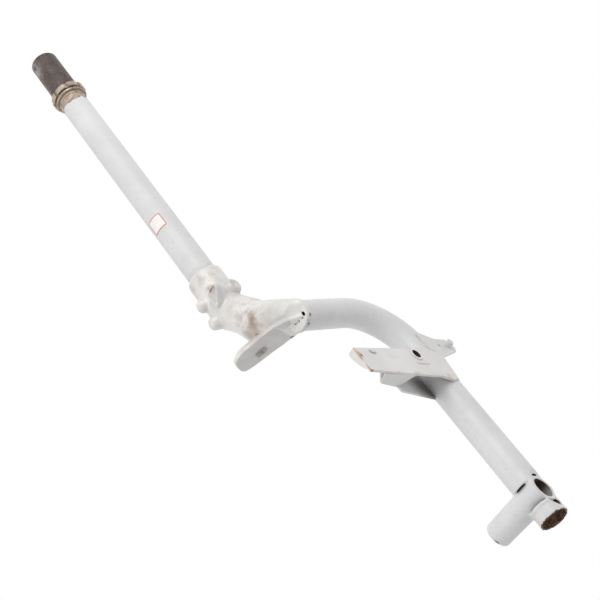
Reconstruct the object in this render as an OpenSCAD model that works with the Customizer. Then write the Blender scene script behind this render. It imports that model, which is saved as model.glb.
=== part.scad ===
// Single-sided scooter front fork: steering column, cast crown, mudguard flange,
// one bent tubular leg, shock bracket and the pivot housing of the wheel link.
// Z runs up the steering axis, X points outboard to the side the leg is on, Y points forward.
// The origin is on the steering axis at the lower face of the mudguard flange.

/* [Steering column] */
// outer radius of the steering tube
col_r = 17.5; // [16:0.5:19]
// inner radius of the steering tube
col_ri = 15; // [13:0.5:15]
// height of the top end of the column above the flange
col_top = 550; // [530:1:600]
// length of the bare turned end, with the thread on its lower part
bare_len = 96; // [90:1:110]
// radius of the thread at the foot of the turned end
bare_r = 18.2; // [17.9:0.1:18.4]
// length of the thread
thread_len = 30; // [26:1:40]
// radius of the plain end above the thread
end_r = 18; // [17.7:0.1:18.1]

/* [Ring nut] */
// outer radius of the slotted ring nut
nut_r = 23.2; // [22.5:0.1:26]
// height of the ring nut
nut_h = 8; // [7:0.5:12]
// number of slots for the hook spanner
nut_slots = 8; // [6:1:12]
// outer radius of the keyed washer under the nut
washer_r = 21; // [20.5:0.1:22]
// height of the keyed washer
washer_h = 6; // [5:0.5:8]

/* [Crown] */
// outer radius of the socket that holds the steering tube
socket_r = 21.5; // [21:0.5:24]
// height of the top edge of the socket
socket_top = 124; // [118:1:130]
// outer radius of the mouth that holds the leg
mouth_r = 19.6; // [19.5:0.1:21]
// thickness of the mudguard flange
flange_t = 5.5; // [4.5:0.5:7]

/* [Leg] */
// outer radius of the leg tube
leg_r = 17; // [16:0.5:17.5]
// wall of the leg tube
leg_wall = 2.5; // [2:0.25:3.5]
// radius of the bend on the centreline
bend_r = 61; // [56:1:66]
// angle the leg tube is bent through
bend_a = 98; // [96:0.5:100]
// distance from the knee to the lower open end, along the leg
leg_len = 328; // [322:1:340]

/* [Pivot housing] */
// radius of the bore for the link spindle
piv_r = 11.5; // [10:0.25:12]
// distance from the knee to the spindle axis, along the leg
piv_s = 296; // [290:1:300]
// outboard end of the housing
piv_out = 105; // [104:0.5:107]
// inboard end of the housing
piv_in = 29; // [27:1:38]

/* [Shock bracket] */
// sheet thickness
sheet = 2.5; // [2:0.25:3]
// radius of the bolt hole through the bush
bush_ri = 5.5; // [5:0.25:6]
// outer radius of the bush
bush_ro = 8; // [7.5:0.25:9]
// position of the bush along Y
bush_y = 87; // [80:1:94]
// height of the bush
bush_z = -102.5; // [-108:0.5:-101]

/* [Hidden] */
$fn = 96;
knee = [78.2, 147.2, -1.2];
leg_turn = [-93.3, -1.8, 83.7];
bare_z = col_top - bare_len;
thread_z = bare_z + 8;
washer_z = bare_z + 11.5;
nut_z = washer_z + washer_h + 0.2;
nut_ri = bare_r + 0.08;
bend_t = bend_r * tan(bend_a / 2);
mouth_s = 144.5;
leg_back = 152;
leg_dir = [0.0457, -0.1139, -0.9924];
piv = knee + piv_s * leg_dir;
plate_x = 100.4;
socket_z = 56;
run = [[[21.8, -19.5, 0], [14.4, 25.9, 0]], [[41, -13, -2.5], [29.5, 26.5, -4]],
  [[58, -8.5, -8.5], [43, 20, -11]], [[75, -2, -17.5], [53.5, 8.2, -19.5]]];
function toward(a, b, d) = a + d * (b - a) / norm(b - a);

// ---------- helpers ----------
// places a shape drawn with x along the upper run of the leg, y to the inside of the bend
module at_leg() {
  translate(knee) rotate(leg_turn) children();
}

// places a shape drawn with z down the lower run of the leg, its origin at the knee
module down_leg() {
  at_leg() rotate([0, 0, bend_a]) rotate([0, 90, 0]) children();
}

module tube(ro, ri, h) {
  difference() {
    cylinder(r = ro, h = h);
    translate([0, 0, -1]) cylinder(r = ri, h = h + 2);
  }
}

// the solid outer shape of the leg, larger than the tube by grow
module leg_solid(grow) {
  at_leg() {
    translate([-leg_back + 3, 0, 0]) rotate([0, 90, 0]) cylinder(r = leg_r + grow, h = leg_back - 3 - bend_t);
    translate([-bend_t, bend_r, 0]) rotate([0, 0, -90]) rotate_extrude(angle = bend_a)
      translate([bend_r, 0]) circle(r = leg_r + grow);
  }
  down_leg() translate([0, 0, bend_t]) cylinder(r = leg_r + grow, h = leg_len - bend_t);
}

module housing_solid(grow) {
  translate([piv_in, piv[1], piv[2]]) rotate([0, 90, 0])
    cylinder(r1 = 14.6 + grow, r2 = 16 + grow, h = piv_out - piv_in);
}

// dishes the leg round the outboard end of the housing
module face_cut() {
  translate([piv_out - 0.01, piv[1], piv[2]]) rotate([0, 90, 0]) cylinder(r1 = 16.02, r2 = 38, h = 7);
}

// opens the rear of the leg, so that the housing passes in front of it
module rear_cut() {
  translate([piv_in, piv[1] - 40, piv[2] - 13]) cube([piv_out - piv_in + 10, 40, 26]);
}

// ---------- steering column ----------
module steering_tube() {
  color("Gainsboro") translate([0, 0, socket_z]) tube(col_r, col_ri, bare_z - socket_z);
}

module column_end() {
  color("DimGray") difference() {
    union() {
      translate([0, 0, bare_z]) cylinder(r = col_r, h = 8);
      translate([0, 0, thread_z]) cylinder(r = bare_r, h = thread_len);
      translate([0, 0, thread_z]) cylinder(r = end_r, h = col_top - thread_z - 0.8);
      translate([0, 0, col_top - 0.8]) cylinder(r1 = end_r, r2 = end_r - 0.8, h = 0.8);
    }
    translate([0, 0, bare_z - 1]) cylinder(r = col_ri, h = bare_len + 2);
    translate([-2, col_ri + 1.6, thread_z]) cube([4, 6, 40]);
  }
}

module ring_nut() {
  color("DarkKhaki") translate([0, 0, nut_z]) difference() {
    union() {
      cylinder(r1 = nut_r - 1, r2 = nut_r, h = 1);
      translate([0, 0, 1]) cylinder(r = nut_r, h = nut_h - 2.5);
      translate([0, 0, nut_h - 1.5]) cylinder(r1 = nut_r, r2 = nut_r - 1.5, h = 1.5);
    }
    translate([0, 0, -1]) cylinder(r = nut_ri, h = nut_h + 2);
    for (i = [0 : nut_slots - 1])
      rotate([0, 0, i * 360 / nut_slots]) translate([nut_r - 2.5, -2, -1]) cube([5, 4, nut_h + 2]);
  }
}

module keyed_washer() {
  color("Tan") translate([0, 0, washer_z]) {
    difference() {
      union() {
        rotate_extrude() translate([washer_r - washer_h / 2, washer_h / 2]) circle(r = washer_h / 2, $fn = 48);
        cylinder(r = washer_r - washer_h / 2, h = washer_h);
      }
      translate([0, 0, -1]) cylinder(r = nut_ri, h = washer_h + 2);
    }
    translate([-1.8, col_ri + 1.8, 1]) cube([3.6, 1.7, washer_h - 2]);
  }
}

// ---------- crown ----------
// a wedge nosed stop lug at angle a, its ridge leaning over by lean
module stop_lug(a, z, nose, lean) {
  rotate([0, 0, a]) translate([0, 0, z]) rotate([lean, 0, 0]) intersection() {
    translate([0, 0, -20]) linear_extrude(40) polygon([[10, -11], [22, -11], [nose, 0], [22, 10], [10, 10]]);
    union() {
      translate([0, 0, 4]) rotate([0, 90, 0]) cylinder(r = 10.5, h = 40);
      translate([0, 0, -4]) rotate([0, 90, 0]) cylinder(r = 12, h = 40, $fn = 4);
      translate([0, -10, -4]) cube([40, 20, 8]);
    }
  }
}

module round_lug(a, z, reach, r) {
  rotate([0, 0, a]) translate([12, 0, z]) rotate([0, 90, 0]) cylinder(r1 = r + 2, r2 = r, h = reach - 15);
  rotate([0, 0, a]) translate([reach - 3, 0, z]) rotate([0, 90, 0]) cylinder(r1 = r, r2 = r - 3, h = 3);
}

// outline of the flat part of the flange round the steering axis
module flange_outline(inset) {
  offset(r = 5) offset(delta = -5 - inset) polygon([[-23.6, -19.2], [-18.8, -25.8], [-10.1, -30], [0, -28.8],
    [10.4, -23.6], [22.5, -19.3], [22.5, 30.5], [14.4, 25.9], [3.2, 18.3], [-9.1, 11.7], [-18.8, 5.7],
    [-27.6, -0.9], [-28.9, -8.1]]);
}

// a solid through four sections, each with four points
module strip(points) {
  polyhedron(points = points, faces = concat([[0, 1, 2, 3], [15, 14, 13, 12]],
    [for (k = [0 : 2]) for (j = [0 : 3]) [4 * k + j, 4 * k + 4 + j, 4 * k + 4 + (j + 1) % 4]],
    [for (k = [0 : 2]) for (j = [0 : 3]) [4 * k + j, 4 * k + 4 + (j + 1) % 4, 4 * k + (j + 1) % 4]]));
}

// the part of the flange that runs out and down along the casting to the mouth, from z1 to z2
module run_out(z1, z2, inset) {
  strip([for (k = [0 : 3]) for (q = [[0, z1], [1, z1], [1, z2], [0, z2]])
    toward(run[k][q[0]], run[k][1 - q[0]], inset) + [0, 0, q[1]]]);
}

// the space outside the outboard edge of the run out, which the casting leans away from
module edge_cut() {
  strip([for (k = [0 : 3]) for (q = [[-30, -50], [0, -50], [0, flange_t - 1], [-30, 36]])
    toward(run[k][0], run[k][1], q[0]) + [0, 0, q[1]]]);
}

module flange_solid() {
  linear_extrude(flange_t) flange_outline(0);
  run_out(0, flange_t, 0);
  translate([0, 0, flange_t - 0.5]) linear_extrude(3.5) flange_outline(3);
  run_out(flange_t - 0.5, flange_t + 3, 3);
}

module crown_casting() {
  color("WhiteSmoke") difference() {
    union() {
      translate([0, 0, 60]) cylinder(r = socket_r, h = socket_top - 61);
      translate([0, 0, socket_top - 1]) cylinder(r1 = socket_r, r2 = socket_r - 1, h = 1);
      difference() {
        union() {
          hull() {
            translate([0, 0, 68]) sphere(r = 21.5, $fn = 48);
            translate([14, -1, 46]) sphere(r = 21.5, $fn = 48);
          }
          hull() {
            translate([14, -1, 46]) sphere(r = 21.5, $fn = 48);
            translate([26, 0, 27]) sphere(r = 21, $fn = 48);
            translate([22, 1, 9]) cylinder(r = 20, h = 6, $fn = 48);
          }
          hull() {
            translate([26, 0, 27]) sphere(r = 21, $fn = 48);
            translate([25, 1, 9]) cylinder(r = 20, h = 6, $fn = 48);
            at_leg() translate([-leg_back + 2, -0.6, 0]) scale([0.4, 1, 1]) sphere(r = 18.8, $fn = 48);
          }
        }
        translate([-60, -60, -60]) cube([82, 120, 60]);
        run_out(-50, 1, 0);
        edge_cut();
      }
      translate([2, 0, flange_t + 3]) cylinder(r = 9.5, h = 6);
      at_leg() translate([-leg_back + 2, 0, 0]) rotate([0, 90, 0]) cylinder(r = mouth_r - 0.8, h = 5.5);
      stop_lug(299, 79, 29, -29);
      round_lug(0, 84, 28.5, 10);
      round_lug(240, 87, 29.5, 8);
      round_lug(233, 61, 29, 8);
    }
    translate([0, 0, socket_z]) cylinder(r = col_r, h = 100);
    translate([2, 0, -1]) cylinder(r = 8, h = flange_t + 4);
    at_leg() translate([-leg_back + 3, 0, 0]) rotate([0, 90, 0]) cylinder(r = leg_r, h = 60);
    at_leg() translate([-mouth_s, 0, 0]) rotate([0, 90, 0]) cylinder(r = 40, h = 60);
    flange_solid();
  }
}

module mudguard_flange() {
  color("Silver") difference() {
    flange_solid();
    translate([2, 0, -1]) cylinder(r = 8, h = 30);
    translate([-19, -10, -1]) cylinder(r = 2.2, h = 30);
    at_leg() translate([-leg_back + 2, 0, 0]) rotate([0, 90, 0]) cylinder(r = mouth_r - 0.8, h = 90);
    at_leg() translate([-mouth_s - 0.02, 0, 0]) rotate([0, 90, 0]) cylinder(r = mouth_r + 0.1, h = 30);
  }
}

// ---------- leg ----------
module leg_tube() {
  color("Gainsboro") difference() {
    leg_solid(0);
    at_leg() {
      translate([-leg_back - 1, 0, 0]) rotate([0, 90, 0]) cylinder(r = leg_r - leg_wall, h = leg_back - bend_t + 1);
      translate([-bend_t, bend_r, 0]) rotate([0, 0, -90]) rotate_extrude(angle = bend_a)
        translate([bend_r, 0]) circle(r = leg_r - leg_wall);
    }
    down_leg() translate([0, 0, bend_t]) cylinder(r = leg_r - leg_wall, h = leg_len);
    housing_solid(0);
    face_cut();
    rear_cut();
    down_leg() translate([0, 0, piv_s]) cylinder(r = 30, h = 60);
  }
}

module leg_end_sleeve() {
  color("Gainsboro") difference() {
    down_leg() union() {
      translate([0, 0, piv_s]) tube(leg_r, leg_r - leg_wall, 19);
      translate([0, 0, piv_s + 18.9]) tube(leg_r - 0.7, leg_r - leg_wall, leg_len - piv_s - 18.9);
    }
    housing_solid(0);
    face_cut();
    rear_cut();
  }
}

module leg_plug() {
  color("SaddleBrown") down_leg() translate([0, 0, leg_len - 10]) difference() {
    cylinder(r = leg_r - leg_wall, h = 2);
    translate([0, 0, -1]) cylinder(r = 4, h = 4);
  }
}

module pivot_housing() {
  color("Gainsboro") difference() {
    housing_solid(0);
    translate([piv_in - 1, piv[1], piv[2]]) rotate([0, 90, 0]) cylinder(r = piv_r, h = 90);
    translate([piv_in, piv[1], piv[2]]) rotate([0, 90, 0]) difference() {
      translate([0, 0, -1]) cylinder(r = 20, h = 3.5);
      translate([0, 0, -0.01]) cylinder(r1 = 13.1, r2 = 14.7, h = 2.6);
    }
  }
}

// ---------- shock bracket ----------
module bracket_plate() {
  color("WhiteSmoke") difference() {
    union() {
      translate([plate_x, 0, 0]) rotate([90, 0, 90]) linear_extrude(sheet)
        polygon([[-22, -98], [100, -92.5], [122, -91.5], [134, -94.5], [142, -103], [134, -139],
          [124, -139.5], [104, -134.5], [-22, -130]]);
      translate([0, -22 + sheet, 0]) rotate([90, 0, 0]) linear_extrude(sheet)
        polygon([[plate_x + 0.1, -98], [94, -99], [93.5, -103], [95, -113], [98, -122], [plate_x + 0.1, -127]]);
      translate([plate_x + sheet, 76, -117]) cube([0.6, 22, 3]);
    }
    translate([90, bush_y, bush_z]) rotate([0, 90, 0]) cylinder(r = bush_ro, h = 30);
    leg_solid(0.02);
  }
}

// the inner sheet leans inboard towards the leg
module at_inner() {
  translate([86.4, 10, 0]) rotate([0, 0, 8]) rotate([90, 0, 90]) children();
}

module bracket_inner() {
  color("WhiteSmoke") difference() {
    at_inner() linear_extrude(sheet)
      polygon([[36, -97], [116, -97], [116, -139], [36, -139], [34, -137.5], [33.5, -130], [0, -130], [22, -110]]);
    translate([60, bush_y, bush_z]) rotate([0, 90, 0]) cylinder(r = bush_ro, h = 60);
    leg_solid(0.02);
    translate([60, 128, -200]) cube([40, 60, 200]);
  }
}

module bracket_floor() {
  color("WhiteSmoke") difference() {
    translate([0, 0, -132]) linear_extrude(2)
      polygon([[plate_x, 3.6], [86.4, 10.5], [82, 43], [85, 46.5], [89, 49.5], [93, 53], [97, 57], [plate_x, 61]]);
    at_inner() linear_extrude(sheet + 0.02) polygon([[32.9, -145], [70, -145], [70, -90], [32.9, -90]]);
  }
}

module bracket_arm() {
  color("WhiteSmoke") difference() {
    translate([plate_x - sheet, 0, 0]) rotate([90, 0, 90]) linear_extrude(sheet)
      polygon([[134, -62], [160, -71], [182, -71], [189, -76], [190, -84], [186, -90], [146, -101], [134, -101]]);
    translate([90, 159, -82]) rotate([0, 90, 0]) cylinder(r = 2.2, h = 30);
    leg_solid(0.02);
  }
}

module bracket_bush() {
  color("Silver") translate([74.4, bush_y, bush_z]) rotate([0, 90, 0]) tube(bush_ro, bush_ri, 29.7);
}

module arm_boss() {
  color("Silver") translate([plate_x, 177, -81]) rotate([0, 90, 0]) cylinder(r = 4.2, h = 6.5);
}

// ---------- welds and trim ----------
module socket_weld() {
  color("Silver") translate([0, 0, socket_top]) difference() {
    cylinder(r1 = col_r + 2.6, r2 = col_r + 0.1, h = 3);
    translate([0, 0, -1]) cylinder(r = col_r, h = 6);
  }
}

module mouth_weld() {
  color("Silver") at_leg() translate([-mouth_s, 0, 0]) rotate([0, 90, 0]) difference() {
    cylinder(r1 = mouth_r - 0.2, r2 = leg_r + 0.5, h = 3);
    translate([0, 0, -1]) cylinder(r = leg_r, h = 6);
  }
}

module bracket_welds() {
  color("Silver") difference() {
    union() {
      translate([98.2, 124, -90.3]) rotate([-90, 0, 0]) cylinder(r = 2.4, h = 20, $fn = 32);
      translate([98, 147.5, -98]) rotate([-6, 0, 0]) cylinder(r = 2, h = 32, $fn = 32);
    }
    leg_solid(0.02);
    translate([plate_x - 0.02, -30, -150]) cube([4, 220, 100]);
    translate([plate_x - sheet - 0.02, 130, -102]) cube([sheet + 0.04, 60, 60]);
  }
}

module flange_rivet() {
  color("Gray") translate([-19, -10, 0]) cylinder(r = 2.2, h = flange_t + 3);
}

module label_patch() {
  color("White") translate([0, 0, 205]) rotate([0, 0, 243]) rotate_extrude(angle = 66)
    translate([col_r, 0]) square([0.25, 20]);
}

steering_tube();
column_end();
ring_nut();
keyed_washer();
crown_casting();
mudguard_flange();
leg_tube();
leg_end_sleeve();
leg_plug();
pivot_housing();
bracket_plate();
bracket_inner();
bracket_floor();
bracket_arm();
bracket_bush();
arm_boss();
socket_weld();
mouth_weld();
bracket_welds();
flange_rivet();
label_patch();
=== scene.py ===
"""Looks of a single-sided scooter front fork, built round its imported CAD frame."""
import math

import bpy
import bmesh
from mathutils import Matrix, Quaternion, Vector, noise as mnoise
from mathutils.bvhtree import BVHTree


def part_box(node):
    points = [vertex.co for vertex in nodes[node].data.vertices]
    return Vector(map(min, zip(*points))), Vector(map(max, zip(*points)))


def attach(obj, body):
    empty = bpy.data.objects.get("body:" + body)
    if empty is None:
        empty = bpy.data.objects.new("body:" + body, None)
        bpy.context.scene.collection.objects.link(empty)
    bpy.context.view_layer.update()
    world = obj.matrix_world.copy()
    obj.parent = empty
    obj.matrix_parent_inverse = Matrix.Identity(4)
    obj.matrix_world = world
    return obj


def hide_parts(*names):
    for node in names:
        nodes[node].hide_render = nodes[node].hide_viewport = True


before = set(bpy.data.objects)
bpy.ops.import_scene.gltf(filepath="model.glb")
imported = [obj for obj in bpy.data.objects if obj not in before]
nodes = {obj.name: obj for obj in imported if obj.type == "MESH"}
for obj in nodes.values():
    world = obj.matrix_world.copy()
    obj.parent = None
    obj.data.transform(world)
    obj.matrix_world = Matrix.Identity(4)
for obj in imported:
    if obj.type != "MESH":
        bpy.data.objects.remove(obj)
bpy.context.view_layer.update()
scene = bpy.context.scene


# ---------- material helpers ----------
def new_mat(name):
    m = bpy.data.materials.new(name)
    m.use_nodes = True
    t = m.node_tree
    t.nodes.clear()
    out = t.nodes.new("ShaderNodeOutputMaterial")
    bsdf = t.nodes.new("ShaderNodeBsdfPrincipled")
    t.links.new(bsdf.outputs[0], out.inputs[0])
    return m, t, bsdf


def coords(t):
    return t.nodes.new("ShaderNodeTexCoord").outputs["Object"]


def ramp(t, value, lo, hi, to_lo=0.0, to_hi=1.0):
    r = t.nodes.new("ShaderNodeMapRange")
    r.inputs["From Min"].default_value = lo
    r.inputs["From Max"].default_value = hi
    r.inputs["To Min"].default_value = to_lo
    r.inputs["To Max"].default_value = to_hi
    t.links.new(value, r.inputs["Value"])
    return r.outputs[0]


def noise(t, vec, scale, detail=4.0, rough=0.55, lo=0.4, hi=0.6):
    n = t.nodes.new("ShaderNodeTexNoise")
    n.inputs["Scale"].default_value = scale
    n.inputs["Detail"].default_value = detail
    n.inputs["Roughness"].default_value = rough
    t.links.new(vec, n.inputs["Vector"])
    return ramp(t, n.outputs[0], lo, hi)


def calc(t, op, a, b=None, clamp=False):
    n = t.nodes.new("ShaderNodeMath")
    n.operation = op
    n.use_clamp = clamp
    for i, v in enumerate((a, b)):
        if v is None:
            continue
        if isinstance(v, (int, float)):
            n.inputs[i].default_value = v
        else:
            t.links.new(v, n.inputs[i])
    return n.outputs[0]


def mix(t, fac, a, b):
    n = t.nodes.new("ShaderNodeMix")
    n.data_type = "RGBA"
    for sock, v in ((0, fac), (6, a), (7, b)):
        if isinstance(v, (int, float)):
            n.inputs[sock].default_value = v
        elif isinstance(v, tuple):
            n.inputs[sock].default_value = (*v, 1)
        else:
            t.links.new(v, n.inputs[sock])
    return n.outputs[2]


def bump(t, b, height, strength, distance=0.001, edge=0.0):
    n = t.nodes.new("ShaderNodeBump")
    n.inputs["Strength"].default_value = strength
    n.inputs["Distance"].default_value = distance
    t.links.new(height, n.inputs["Height"])
    if edge:
        e = t.nodes.new("ShaderNodeBevel")
        e.samples = 4
        e.inputs["Radius"].default_value = edge
        t.links.new(e.outputs[0], n.inputs["Normal"])
    t.links.new(n.outputs[0], b.inputs["Normal"])


def vector(t, op, vec, other=None):
    """One vector operation; LENGTH and DOT_PRODUCT give a value, the rest a vector."""
    n = t.nodes.new("ShaderNodeVectorMath")
    n.operation = op
    t.links.new(vec, n.inputs[0])
    if other is not None:
        n.inputs[1].default_value = other
    return n.outputs["Value" if op in ("LENGTH", "DOT_PRODUCT") else "Vector"]


def near(t, vec, at, inner, outer, stretch=(1, 1, 1)):
    """1 at the point, falling to 0 at the outer radius."""
    k = vector(t, "MULTIPLY", vector(t, "SUBTRACT", vec, at), stretch)
    return ramp(t, vector(t, "LENGTH", k), outer, inner)


def part(t, vec, i):
    n = t.nodes.new("ShaderNodeSeparateXYZ")
    t.links.new(vec, n.inputs[0])
    return n.outputs[i]


def off_axis(t, vec, axis, centre):
    """Distance from a line along a frame axis."""
    keep = [1, 1, 1]
    keep[axis] = 0
    return vector(t, "LENGTH", vector(t, "MULTIPLY", vector(t, "SUBTRACT", vec, centre), keep))


def both(t, a, b):
    return calc(t, "MULTIPLY", a, b, True)


def either(t, a, b):
    return calc(t, "MAXIMUM", a, b)


# ---------- paint ----------
# base tones of the primer and its marks
PAINT = (0.665, 0.665, 0.672)
DUSTY = (0.60, 0.597, 0.60)
BROWN = (0.10, 0.050, 0.026)
TAN = (0.42, 0.30, 0.21)


def painted(name, base=PAINT, dusty=DUSTY, gloss=0.36, extra=None, edge=0.0006, wear=0.2):
    """Satin primer: broad dust, faint runs, fine orange peel, and marks from extra(t, v, colour)."""
    m, t, b = new_mat(name)
    v = coords(t)
    col = mix(t, noise(t, v, 16, 3, 0.5, 0.35, 0.65), base, dusty)
    col = mix(t, calc(t, "MULTIPLY", noise(t, v, 70, 5, 0.6, 0.56, 0.72), wear), col, (0.47, 0.44, 0.41))
    col = mix(t, calc(t, "MULTIPLY", noise(t, v, 380, 2, 0.5, 0.66, 0.74), 0.35), col, (0.36, 0.33, 0.31))
    rough = ramp(t, noise(t, v, 90, 3, 0.5, 0.3, 0.7), 0, 1, gloss, gloss + 0.16)
    if extra:
        col, mask = extra(t, v, col)
        rough = calc(t, "ADD", rough, calc(t, "MULTIPLY", mask, 0.3), True)
    t.links.new(col, b.inputs["Base Color"])
    t.links.new(rough, b.inputs["Roughness"])
    peel = noise(t, v, 520, 2, 0.5, 0.2, 0.8)
    runs = calc(t, "MULTIPLY", noise(t, v, 60, 2, 0.5, 0.2, 0.8), 1.5)
    height = calc(t, "ADD", peel, runs)
    bump(t, b, height, 0.10, 0.0004, edge)
    return m


column_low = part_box("column_end")[0].z


def tube_marks(t, v, col):
    """The bare band under the washer, with a torn paint edge."""
    z = part(t, v, 2)
    wob = calc(t, "MULTIPLY", noise(t, v, 110, 4, 0.6, 0.3, 0.7), 0.007)
    band = ramp(t, calc(t, "ADD", z, wob), column_low + 0.0015, column_low + 0.0027)
    bare = mix(t, noise(t, v, 260, 4, 0.6, 0.4, 0.6), (0.50, 0.40, 0.32), (0.28, 0.20, 0.15))
    rim = both(t, band, ramp(t, calc(t, "ADD", z, wob), column_low + 0.0045, column_low + 0.0028))
    col = mix(t, band, col, bare)
    return mix(t, calc(t, "MULTIPLY", rim, 0.8), col, (0.13, 0.065, 0.035)), band


def socket_dirt(t, v, col):
    z = part(t, v, 2)
    foot = ramp(t, z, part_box("socket_weld")[1].z + 0.006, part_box("socket_weld")[1].z - 0.001)
    mask = both(t, foot, noise(t, v, 150, 4, 0.6, 0.40, 0.65))
    return mix(t, calc(t, "MULTIPLY", mask, 0.55), col, (0.30, 0.26, 0.23)), mask


def both_marks(t, v, col):
    col, a = tube_marks(t, v, col)
    col, b = socket_dirt(t, v, col)
    return col, either(t, a, b)


tube_paint = painted("tube_primer", extra=both_marks)

# ---------- oily turned steel ----------
m, t, b = new_mat("oily_steel")
v = coords(t)
c = mix(t, noise(t, v, 45, 5, 0.65, 0.38, 0.62), (0.105, 0.078, 0.070), (0.060, 0.045, 0.042))
c = mix(t, calc(t, "MULTIPLY", noise(t, v, 300, 3, 0.6, 0.5, 0.75), 0.6), c, (0.19, 0.15, 0.13))
column_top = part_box("column_end")[1].z
spot = near(t, v, (-0.008, -0.016, column_top - 0.014), 0.003, 0.016, (1, 1, 0.7))
c = mix(t, both(t, spot, noise(t, v, 160, 3, 0.6, 0.35, 0.6)), c, (0.36, 0.34, 0.33))
warm = near(t, v, (-0.018, -0.002, column_top - 0.045), 0.006, 0.022, (1, 1, 0.45))
c = mix(t, calc(t, "MULTIPLY", warm, 0.6), c, (0.23, 0.13, 0.085))
top = ramp(t, part(t, v, 2), column_top - 0.0022, column_top - 0.0012)
c = mix(t, calc(t, "MULTIPLY", top, 0.8), c, (0.035, 0.026, 0.024))
hole = ramp(t, off_axis(t, v, 2, (0, 0, 0)), 0.0158, 0.0152)
c = mix(t, hole, c, (0.05, 0.034, 0.028))
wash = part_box("keyed_washer")[0].z
tan = mix(t, noise(t, v, 200, 4, 0.65, 0.40, 0.62), (0.56, 0.46, 0.37), (0.33, 0.24, 0.18))
c = mix(t, ramp(t, part(t, v, 2), wash + 0.0005, wash - 0.0005), c, tan)
t.links.new(c, b.inputs["Base Color"])
b.inputs["Metallic"].default_value = 0.35
t.links.new(ramp(t, noise(t, v, 120, 3, 0.5, 0.3, 0.7), 0, 1, 0.36, 0.6), b.inputs["Roughness"])
wave = t.nodes.new("ShaderNodeTexWave")
wave.bands_direction = "Z"
wave.inputs["Scale"].default_value = 420
wave.inputs["Distortion"].default_value = 0.4
t.links.new(v, wave.inputs["Vector"])
bump(t, b, wave.outputs["Fac"], 0.10, 0.0002, 0.0004)
oily = m

# ---------- nickel ----------
m, t, b = new_mat("worn_nickel")
v = coords(t)
c = mix(t, noise(t, v, 120, 4, 0.6, 0.35, 0.65), (0.62, 0.53, 0.44), (0.40, 0.31, 0.24))
c = mix(t, noise(t, v, 200, 4, 0.6, 0.66, 0.76), c, (0.14, 0.080, 0.045))
deep = ramp(t, off_axis(t, v, 2, (0, 0, 0)), 0.0218, 0.0200)
c = mix(t, calc(t, "MULTIPLY", deep, 0.6), c, (0.08, 0.05, 0.035))
t.links.new(c, b.inputs["Base Color"])
b.inputs["Metallic"].default_value = 0.8
t.links.new(ramp(t, noise(t, v, 300, 3, 0.5, 0.3, 0.7), 0, 1, 0.26, 0.46), b.inputs["Roughness"])
bump(t, b, noise(t, v, 500, 3, 0.5, 0.3, 0.7), 0.15, 0.0002, 0.0005)
nickel = m

# ---------- rust ----------
m, t, b = new_mat("brown_rust")
v = coords(t)
c = mix(t, noise(t, v, 260, 5, 0.65, 0.4, 0.6), (0.055, 0.028, 0.018), (0.17, 0.085, 0.045))
t.links.new(c, b.inputs["Base Color"])
b.inputs["Roughness"].default_value = 0.85
bump(t, b, noise(t, v, 600, 4, 0.6, 0.3, 0.7), 0.5, 0.0005)
rust = m

# ---------- cast crown ----------
cr_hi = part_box("crown_casting")[1]


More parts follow.
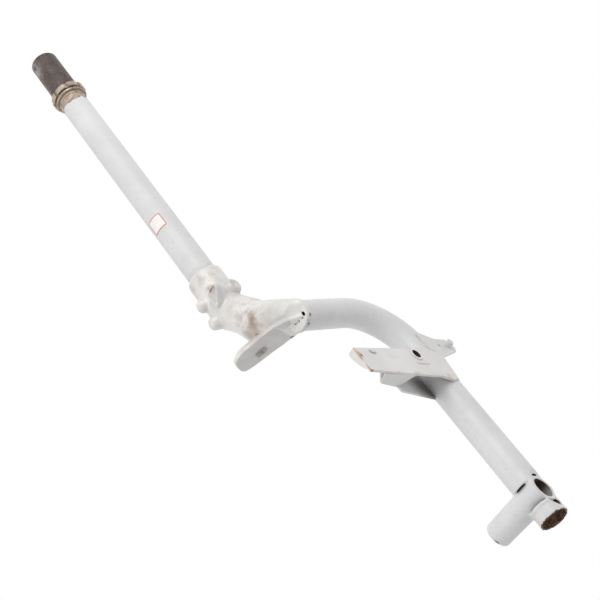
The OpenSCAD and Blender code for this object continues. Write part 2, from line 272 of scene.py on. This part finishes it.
def cast(name):
    """Rough cast paint: blotches, brown stains, painted shade greying one lug facet and the downward flange
    faces, and dark gaps at the mouth.
    """
    m, t, b = new_mat(name)
    v = coords(t)
    col = mix(t, noise(t, v, 30, 4, 0.55, 0.38, 0.62), (0.73, 0.715, 0.70), (0.60, 0.585, 0.57))
    blot = noise(t, v, 60, 5, 0.65, 0.42, 0.62)
    stain = near(t, v, (0.026, -0.021, 0.020), 0.004, 0.024, (0.75, 1, 1.1))
    col = mix(t, calc(t, "MULTIPLY", both(t, stain, blot), 0.95), col, (0.34, 0.23, 0.165))
    dark = near(t, v, (0.018, -0.022, 0.014), 0.002, 0.016, (0.8, 1, 1))
    col = mix(t, calc(t, "MULTIPLY", dark, 0.4), col, (0.30, 0.24, 0.20))
    edge = near(t, v, (0.040, -0.018, 0.044), 0.003, 0.018, (0.45, 1, 0.9))
    col = mix(t, calc(t, "MULTIPLY", both(t, edge, blot), 0.75), col, (0.36, 0.26, 0.19))
    ring = ramp(t, part(t, v, 2), cr_hi.z - 0.036, cr_hi.z - 0.004)
    tint = both(t, ring, noise(t, v, 90, 4, 0.6, 0.50, 0.66))
    col = mix(t, calc(t, "MULTIPLY", tint, 0.5), col, (0.45, 0.35, 0.28))
    # painted shade: a neutral grey patch on this lug facet stands for its shaded under-face
    lug = near(t, v, (0.014, -0.026, 0.078), 0.008, 0.0135)
    col = mix(t, calc(t, "MULTIPLY", lug, 0.55), col, (0.38, 0.375, 0.38))
    lug = near(t, v, (0.010, -0.025, 0.091), 0.003, 0.011)
    col = mix(t, both(t, lug, noise(t, v, 200, 4, 0.65, 0.40, 0.56)), col, (0.18, 0.10, 0.07))
    for at in ((0.028, 0.0, 0.084), (-0.0145, -0.0255, 0.087)):
        lug = near(t, v, at, 0.004, 0.012)
        col = mix(t, calc(t, "MULTIPLY", both(t, lug, blot), 0.6), col, (0.36, 0.25, 0.18))
    # painted shade: faces turned downwards near the flange level are greyed as if in shadow
    facing = t.nodes.new("ShaderNodeTexCoord").outputs["Normal"]
    down_face_shade = both(t, ramp(t, part(t, facing, 2), -0.80, -0.93), ramp(t, part(t, v, 2), 0.0016, 0.0008))
    grey = mix(t, noise(t, v, 45, 4, 0.55, 0.35, 0.65), (0.56, 0.555, 0.55), (0.50, 0.49, 0.485))
    col = mix(t, down_face_shade, col, grey)
    low = near(t, v, (0.002, 0.0, 0.001), 0.007, 0.012)
    grit = noise(t, v, 240, 4, 0.65, 0.50, 0.62)
    col = mix(t, both(t, low, calc(t, "MULTIPLY", grit, 0.7)), col, (0.25, 0.20, 0.17))
    slot = near(t, v, (0.0315, 0.0235, -0.0045), 0.0012, 0.0024, (0.42, 1.2, 1))
    col = mix(t, slot, col, (0.09, 0.07, 0.06))
    for at in ((0.0755, 0.0020, -0.0180), (0.0672, 0.0035, -0.0240)):
        gap = near(t, v, at, 0.0008, 0.0030, (1, 1.0, 1))
        col = mix(t, both(t, gap, noise(t, v, 300, 3, 0.6, 0.40, 0.5)), col, (0.012, 0.010, 0.010))
    t.links.new(col, b.inputs["Base Color"])
    t.links.new(ramp(t, noise(t, v, 70, 3, 0.5, 0.3, 0.7), 0, 1, 0.30, 0.48), b.inputs["Roughness"])
    b.inputs["Metallic"].default_value = 0.12
    grain = noise(t, v, 900, 3, 0.6, 0.2, 0.8)
    swell = calc(t, "MULTIPLY", noise(t, v, 160, 3, 0.5, 0.2, 0.8), 1.6)
    bump(t, b, calc(t, "ADD", grain, swell), 0.26, 0.0005)
    return m


cast_body = cast("cast_primer_body")

# ---------- lower end ----------
hub_lo, hub_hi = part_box("pivot_housing")
hub = (hub_lo + hub_hi) / 2


def hub_marks(t, v, col):
    """Bare brown inside the cross bore, and a dirty lower corner."""
    d = off_axis(t, v, 0, hub)
    inside = ramp(t, d, 0.0122, 0.0117)
    speck = noise(t, v, 180, 4, 0.65, 0.4, 0.62)
    brown = mix(t, speck, (0.026, 0.014, 0.010), (0.115, 0.055, 0.032))
    low = ramp(t, part(t, v, 2), hub.z - 0.002, hub.z - 0.009)
    front = ramp(t, part(t, v, 1), hub.y - 0.001, hub.y + 0.006)
    level = ramp(t, part(t, v, 2), hub.z + 0.004, hub.z - 0.004)
    clean = calc(t, "MULTIPLY", either(t, both(t, low, front), both(t, front, level)), 1.0, True)
    brown = mix(t, calc(t, "MULTIPLY", clean, 0.85), brown, (0.36, 0.35, 0.35))
    col = mix(t, inside, col, brown)
    end = near(t, v, (hub_lo.x + 0.001, hub.y - 0.0115, hub.z - 0.008), 0.0006, 0.0030, (1, 1, 0.5))
    return mix(t, end, col, (0.06, 0.045, 0.04)), inside


leg_dir = Vector((0.0448, -0.1137, -0.9925)).normalized()
# where the leg's axis passes the housing's axis
crossing = (0.0915, hub.y, hub.z)


def along_leg(t, v, origin):
    """Distance down the axis of the leg's lower run."""
    return vector(t, "DOT_PRODUCT", vector(t, "SUBTRACT", v, origin), leg_dir)


def off_leg(t, v, origin):
    """Distance from the axis of the leg's lower run."""
    return vector(t, "LENGTH", vector(t, "CROSS_PRODUCT", vector(t, "SUBTRACT", v, origin), leg_dir))


def sleeve_marks(t, v, col):
    """Bare rusty rim and inside at the open lower end of the leg."""
    run = along_leg(t, v, crossing)
    wob = calc(t, "MULTIPLY", noise(t, v, 200, 4, 0.6, 0.3, 0.7), 0.0022)
    rim = ramp(t, calc(t, "ADD", run, wob), 0.0321, 0.0327)
    d = off_leg(t, v, crossing)
    inside = both(t, ramp(t, d, 0.0156, 0.0150), ramp(t, run, 0.0175, 0.0185))
    brown = mix(t, noise(t, v, 260, 4, 0.65, 0.4, 0.6), (0.05, 0.026, 0.017), (0.26, 0.15, 0.09))
    mask = either(t, rim, inside)
    return mix(t, mask, col, brown), mask




def end_marks(t, v, col):
    col, a = hub_marks(t, v, col)
    col, b = sleeve_marks(t, v, col)
    return col, either(t, a, b)


end_paint = painted("end_primer", extra=end_marks)

# ---------- bracket ----------
pl_lo, pl_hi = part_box("bracket_plate")
bu_lo, bu_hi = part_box("bracket_bush")
bush = (bu_lo + bu_hi) / 2
ORANGE = (0.56, 0.25, 0.085)


def plate_marks(t, v, col):
    """Rubbed orange edges at the rear corner, a spot weld and a pressed line."""
    y = part(t, v, 1)
    x = part(t, v, 0)
    z = part(t, v, 2)
    ragged = noise(t, v, 130, 4, 0.65, 0.40, 0.56)
    back = ramp(t, y, pl_lo.y + 0.0013, pl_lo.y + 0.0004)
    rear = both(t, back, ramp(t, x, pl_hi.x - 0.0026, pl_hi.x - 0.0010))
    up = ramp(t, z, pl_lo.z + 0.030, pl_hi.z - 0.004)
    mask = both(t, rear, calc(t, "ADD", calc(t, "MULTIPLY", ragged, 0.85), 0.15))
    long = both(t, ramp(t, x, pl_hi.x - 0.0022, pl_hi.x - 0.0006), noise(t, v, 60, 4, 0.65, 0.46, 0.60))
    lip = both(t, ramp(t, calc(t, "ABSOLUTE", calc(t, "ADD", z, 0.1125)), 0.0160, 0.0178), long)
    col = mix(t, calc(t, "MULTIPLY", lip, 0.42), col, (0.50, 0.33, 0.19))
    col = mix(t, mask, col, mix(t, up, ORANGE, (0.62, 0.42, 0.27)))
    spot = near(t, v, (pl_hi.x, pl_lo.y + 0.0035, -0.1075), 0.0010, 0.0032, (0.4, 1, 0.6))
    col = mix(t, both(t, spot, noise(t, v, 300, 3, 0.6, 0.35, 0.5)), col, (0.13, 0.050, 0.025))
    tip = near(t, v, (pl_hi.x, pl_lo.y + 0.003, pl_lo.z + 0.0085), 0.0012, 0.0040, (0.4, 1, 1))
    col = mix(t, both(t, tip, ragged), col, (0.20, 0.13, 0.10))
    weld = near(t, v, (pl_hi.x, 0.0068, -0.1030), 0.0016, 0.0066, (0.3, 0.8, 1.4))
    col = mix(t, calc(t, "MULTIPLY", weld, 0.6), col, (0.27, 0.25, 0.25))
    ring = ramp(t, off_axis(t, v, 0, bush), 0.0105, 0.0082)
    col = mix(t, calc(t, "MULTIPLY", ring, 0.25), col, (0.40, 0.37, 0.35))
    return col, mask


plate_paint = painted("plate_primer", (0.71, 0.705, 0.70), (0.65, 0.64, 0.635), 0.40, plate_marks, 0.0007)
SHEET = ((0.69, 0.69, 0.695), (0.62, 0.615, 0.61), 0.42)
sheet_paint = painted("sheet_primer", *SHEET, None, 0.0007, 0.35)


def pocket_painted_shade(t, v, col):
    """Painted shade deep in the pocket between the sheets and the leg."""
    deep = near(t, v, (0.0770, 0.114, -0.124), 0.010, 0.034, (1, 0.8, 1))
    return mix(t, calc(t, "MULTIPLY", deep, 0.9), col, (0.085, 0.080, 0.078)), deep


inner_paint = painted("inner_primer", *SHEET, pocket_painted_shade, 0.0007, 0.35)


def bush_marks(t, v, col):
    d = off_axis(t, v, 0, bush)
    inside = ramp(t, d, 0.0061, 0.0057)
    rusty = mix(t, noise(t, v, 400, 3, 0.6, 0.4, 0.6), (0.03, 0.014, 0.010), (0.09, 0.04, 0.025))
    return mix(t, inside, col, rusty), inside


bush_paint = painted("bush_primer", (0.80, 0.795, 0.79), (0.73, 0.72, 0.71), 0.38, bush_marks, 0.0004)

# ---------- label ----------
m, t, b = new_mat("blank_label")
v = coords(t)
la_lo, la_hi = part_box("label_patch")
z = part(t, v, 2)
ang = calc(t, "ARCTAN2", part(t, v, 1), part(t, v, 0))
a_lo, a_hi = math.radians(243 - 360), math.radians(309 - 360)
low = ramp(t, z, la_lo.z + 0.0012, la_lo.z + 0.0009)
high = ramp(t, z, la_hi.z - 0.0012, la_hi.z - 0.0009)
left = ramp(t, ang, a_lo + 0.065, a_lo + 0.05)
right = ramp(t, ang, a_hi - 0.065, a_hi - 0.05)
edge = either(t, either(t, low, high), either(t, left, right))
paper = mix(t, noise(t, v, 200, 3, 0.5, 0.3, 0.7), (0.84, 0.83, 0.81), (0.76, 0.75, 0.73))
worn = both(t, edge, noise(t, v, 500, 3, 0.6, 0.28, 0.42))
t.links.new(mix(t, worn, paper, (0.62, 0.10, 0.08)), b.inputs["Base Color"])
b.inputs["Roughness"].default_value = 0.42
bump(t, b, noise(t, v, 300, 3, 0.5, 0.3, 0.7), 0.08, 0.0002)
label = m

looks = {
    "steering_tube": tube_paint,
    "socket_weld": cast_body,
    "mouth_weld": cast_body,
    "column_end": oily,
    "ring_nut": nickel,
    "keyed_washer": nickel,
    "leg_tube": end_paint,
    "leg_end_sleeve": end_paint,
    "leg_plug": rust,
    "pivot_housing": end_paint,
    "bracket_plate": plate_paint,
    "bracket_inner": inner_paint,
    "bracket_floor": sheet_paint,
    "bracket_arm": sheet_paint,
    "bracket_bush": bush_paint,
    "arm_boss": sheet_paint,
    "bracket_welds": sheet_paint,
    "flange_rivet": cast_body,
    "label_patch": label,
}
for n, o in nodes.items():
    o.data.materials.clear()
    o.data.materials.append(looks.get(n, tube_paint))


# ---------- shapes ----------
def add(name, mesh, mat, body="fork"):
    o = bpy.data.objects.new(name, mesh)
    scene.collection.objects.link(o)
    mesh.materials.clear()
    mesh.materials.append(mat)
    mesh.shade_smooth()
    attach(o, body)
    return o


def solids(names):
    """Points and faces of some CAD solids together."""
    verts, faces = [], []
    for n in names:
        mesh = nodes[n].data
        base = len(verts)
        verts.extend(v.co.copy() for v in mesh.vertices)
        faces.extend([base + i for i in f.vertices] for f in mesh.polygons)
    return verts, faces


def skin(names):
    """The surface of some CAD solids, for nearest point questions."""
    return BVHTree.FromPolygons(*solids(names))


def blend(name, names, voxel, rounds):
    """Makes CAD solids into one closed skin and softens it."""
    verts, faces = solids(names)
    raw = bpy.data.meshes.new(name)
    raw.from_pydata(verts, [], faces)
    o = bpy.data.objects.new(name, raw)
    scene.collection.objects.link(o)
    r = o.modifiers.new("remesh", "REMESH")
    r.mode = "VOXEL"
    r.voxel_size = voxel
    k = o.modifiers.new("soften", "SMOOTH")
    k.factor = 0.5
    k.iterations = rounds
    dg = bpy.context.evaluated_depsgraph_get()
    mesh = bpy.data.meshes.new_from_object(o.evaluated_get(dg))
    bpy.data.objects.remove(o)
    return mesh


def soften(mesh, rounds, weights):
    """Smooths a mesh, each point as far as its weight lets it."""
    o = bpy.data.objects.new("soften", mesh)
    scene.collection.objects.link(o)
    g = o.vertex_groups.new(name="w")
    steps = [round(w * 10) for w in weights]
    for level in range(1, 11):
        g.add([i for i, w in enumerate(steps) if w == level], level / 10, "REPLACE")
    k = o.modifiers.new("soften", "SMOOTH")
    k.factor = 0.5
    k.iterations = rounds
    k.vertex_group = "w"
    dg = bpy.context.evaluated_depsgraph_get()
    made = bpy.data.meshes.new_from_object(o.evaluated_get(dg))
    bpy.data.objects.remove(o)
    return made


# the crown, its flange and its mouth are one casting with soft corners; the flange stays crisper
crown_nodes = ["crown_casting", "mudguard_flange", "mouth_weld", "socket_weld", "flange_rivet"]
mesh = blend("crown_cast_body", crown_nodes, 0.0008, 2)
plate = skin(["mudguard_flange"])
weights = []
for v in mesh.vertices:
    d = plate.find_nearest(v.co)[3]
    weights.append(min(1.0, max(0.0, (d - 0.0006) / 0.003)))
mesh = soften(mesh, 30, weights)
mesh = soften(mesh, 3, [0.6] * len(mesh.vertices))
normals = [v.normal.copy() for v in mesh.vertices]
for v, normal in zip(mesh.vertices, normals):
    q = v.co * 1000
    lift = 0.0002 * (mnoise.noise(q * 0.12) + 0.5 * mnoise.noise(q * 0.3))
    d = plate.find_nearest(v.co)[3]
    v.co += normal * lift * min(1.0, 0.25 + d / 0.004)
crown = add("crown_cast_body", mesh, cast_body)
for n in crown_nodes:
    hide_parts(n)

# the leg flows into its cross housing and lower sleeve
leg_nodes = ["leg_tube", "leg_end_sleeve", "pivot_housing"]
mesh = blend("leg_and_housing", leg_nodes, 0.0009, 12)
tube_skin = skin(["leg_tube", "leg_end_sleeve"])
hub_skin = skin(["pivot_housing"])
moved = []
for v in mesh.vertices:
    p, _, _, d = tube_skin.find_nearest(v.co)
    q, _, _, e = hub_skin.find_nearest(v.co)
    w = min(1.0, max(0.0, (max(d, e) - 0.0030) / 0.0035))
    moved.append(v.co.lerp(p if d < e else q, w))
for v, p in zip(mesh.vertices, moved):
    v.co = p
leg = add("leg_and_housing", mesh, end_paint)
for n in leg_nodes:
    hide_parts(n)


# the spot weld that shows on the outer plate
def weld_spot(name, at, length, width, height, mat):
    bm = bmesh.new()
    rings = []
    for k in range(6):
        rad = math.cos(k / 5.5 * math.pi / 2)
        up = math.sin(k / 5.5 * math.pi / 2)
        ring = []
        for i in range(20):
            a = math.tau * i / 20
            w = 1 + 0.10 * math.sin(3 * a + 1) + 0.06 * math.sin(5 * a)
            y = rad * w * length * math.cos(a)
            zz = rad * w * width * math.sin(a) - 0.35 * y
            ring.append(bm.verts.new((at[0] + up * height - 0.0001, at[1] + y, at[2] + zz)))
        rings.append(ring)
    for p, q in zip(rings, rings[1:]):
        for i in range(20):
            bm.faces.new((p[i], p[(i + 1) % 20], q[(i + 1) % 20], q[i]))
    bm.faces.new(rings[-1])
    bm.faces.new(rings[0][::-1])
    mesh = bpy.data.meshes.new(name)
    bm.to_mesh(mesh)
    bm.free()
    return add(name, mesh, mat)


weld_spot("spot_weld", (pl_hi.x, 0.0066, -0.1022), 0.0046, 0.0021, 0.0004, sheet_paint)

# ---------- camera ----------
cam_data = bpy.data.cameras.new("camera")
cam = bpy.data.objects.new("camera", cam_data)
scene.collection.objects.link(cam)
cam_data.sensor_width = 36.0
cam_data.lens = 71.3
cam.location = (0.5734, -0.9836, -0.6363)
look_at = Vector((0.0677, 0.0212, 0.0154))
aim = (look_at - cam.location).normalized().to_track_quat("-Z", "Y")
cam.rotation_mode = "QUATERNION"
cam.rotation_quaternion = aim @ Quaternion((0, 0, 1), math.radians(-38.55))
scene.camera = cam

# ---------- light ----------
scene.view_settings.view_transform = "Standard"
view = (look_at - cam.location).normalized()
right = cam.rotation_quaternion @ Vector((1, 0, 0))
up = cam.rotation_quaternion @ Vector((0, 1, 0))
world = bpy.data.worlds.new("studio")
scene.world = world
world.use_nodes = True
wt = world.node_tree
wt.nodes.clear()
wo = wt.nodes.new("ShaderNodeOutputWorld")
seen = wt.nodes.new("ShaderNodeBackground")
seen.inputs[0].default_value = (1, 1, 1, 1)
lit = wt.nodes.new("ShaderNodeBackground")
lit.inputs[0].default_value = (1.0, 0.995, 0.99, 1)
lit.inputs[1].default_value = 0.72
pick = wt.nodes.new("ShaderNodeMixShader")
lp = wt.nodes.new("ShaderNodeLightPath")
wt.links.new(lp.outputs["Is Camera Ray"], pick.inputs[0])
wt.links.new(lit.outputs[0], pick.inputs[1])
wt.links.new(seen.outputs[0], pick.inputs[2])
wt.links.new(pick.outputs[0], wo.inputs[0])


def area(name, offset, size, power):
    d = bpy.data.lights.new(name, "AREA")
    d.energy = power
    d.size = size
    o = bpy.data.objects.new(name, d)
    centre = Vector((0.05, 0.05, 0.1))
    o.location = centre + offset
    o.rotation_mode = "QUATERNION"
    o.rotation_quaternion = (-offset).to_track_quat("-Z", "Y")
    scene.collection.objects.link(o)


area("key", up * 1.3 - right * 0.5 - view * 0.9, 1.1, 12)
area("fill", -right * 1.3 - up * 0.5 - view * 0.7, 1.2, 5)

# ---------- floor ----------
# a pale board behind the object as it lies, seen from above; its back lets other views through
bm = bmesh.new()
centre = Vector((0.05, 0.05, 0.1)) + view * 0.55
quad = [centre + right * sx * 3 + up * sy * 3 for sx, sy in ((-1, -1), (1, -1), (1, 1), (-1, 1))]
bm.faces.new([bm.verts.new(p) for p in quad])
mesh = bpy.data.meshes.new("floor")
bm.to_mesh(mesh)
bm.free()
floor = bpy.data.objects.new("floor", mesh)
scene.collection.objects.link(floor)
m = bpy.data.materials.new("floor")
m.use_nodes = True
t = m.node_tree
t.nodes.clear()
out = t.nodes.new("ShaderNodeOutputMaterial")
glow = t.nodes.new("ShaderNodeEmission")
glow.inputs[1].default_value = 1.0
clear = t.nodes.new("ShaderNodeBsdfTransparent")
pick = t.nodes.new("ShaderNodeMixShader")
geo = t.nodes.new("ShaderNodeNewGeometry")
t.links.new(geo.outputs["Backfacing"], pick.inputs[0])
t.links.new(glow.outputs[0], pick.inputs[1])
t.links.new(clear.outputs[0], pick.inputs[2])
t.links.new(pick.outputs[0], out.inputs[0])
mesh.materials.append(m)
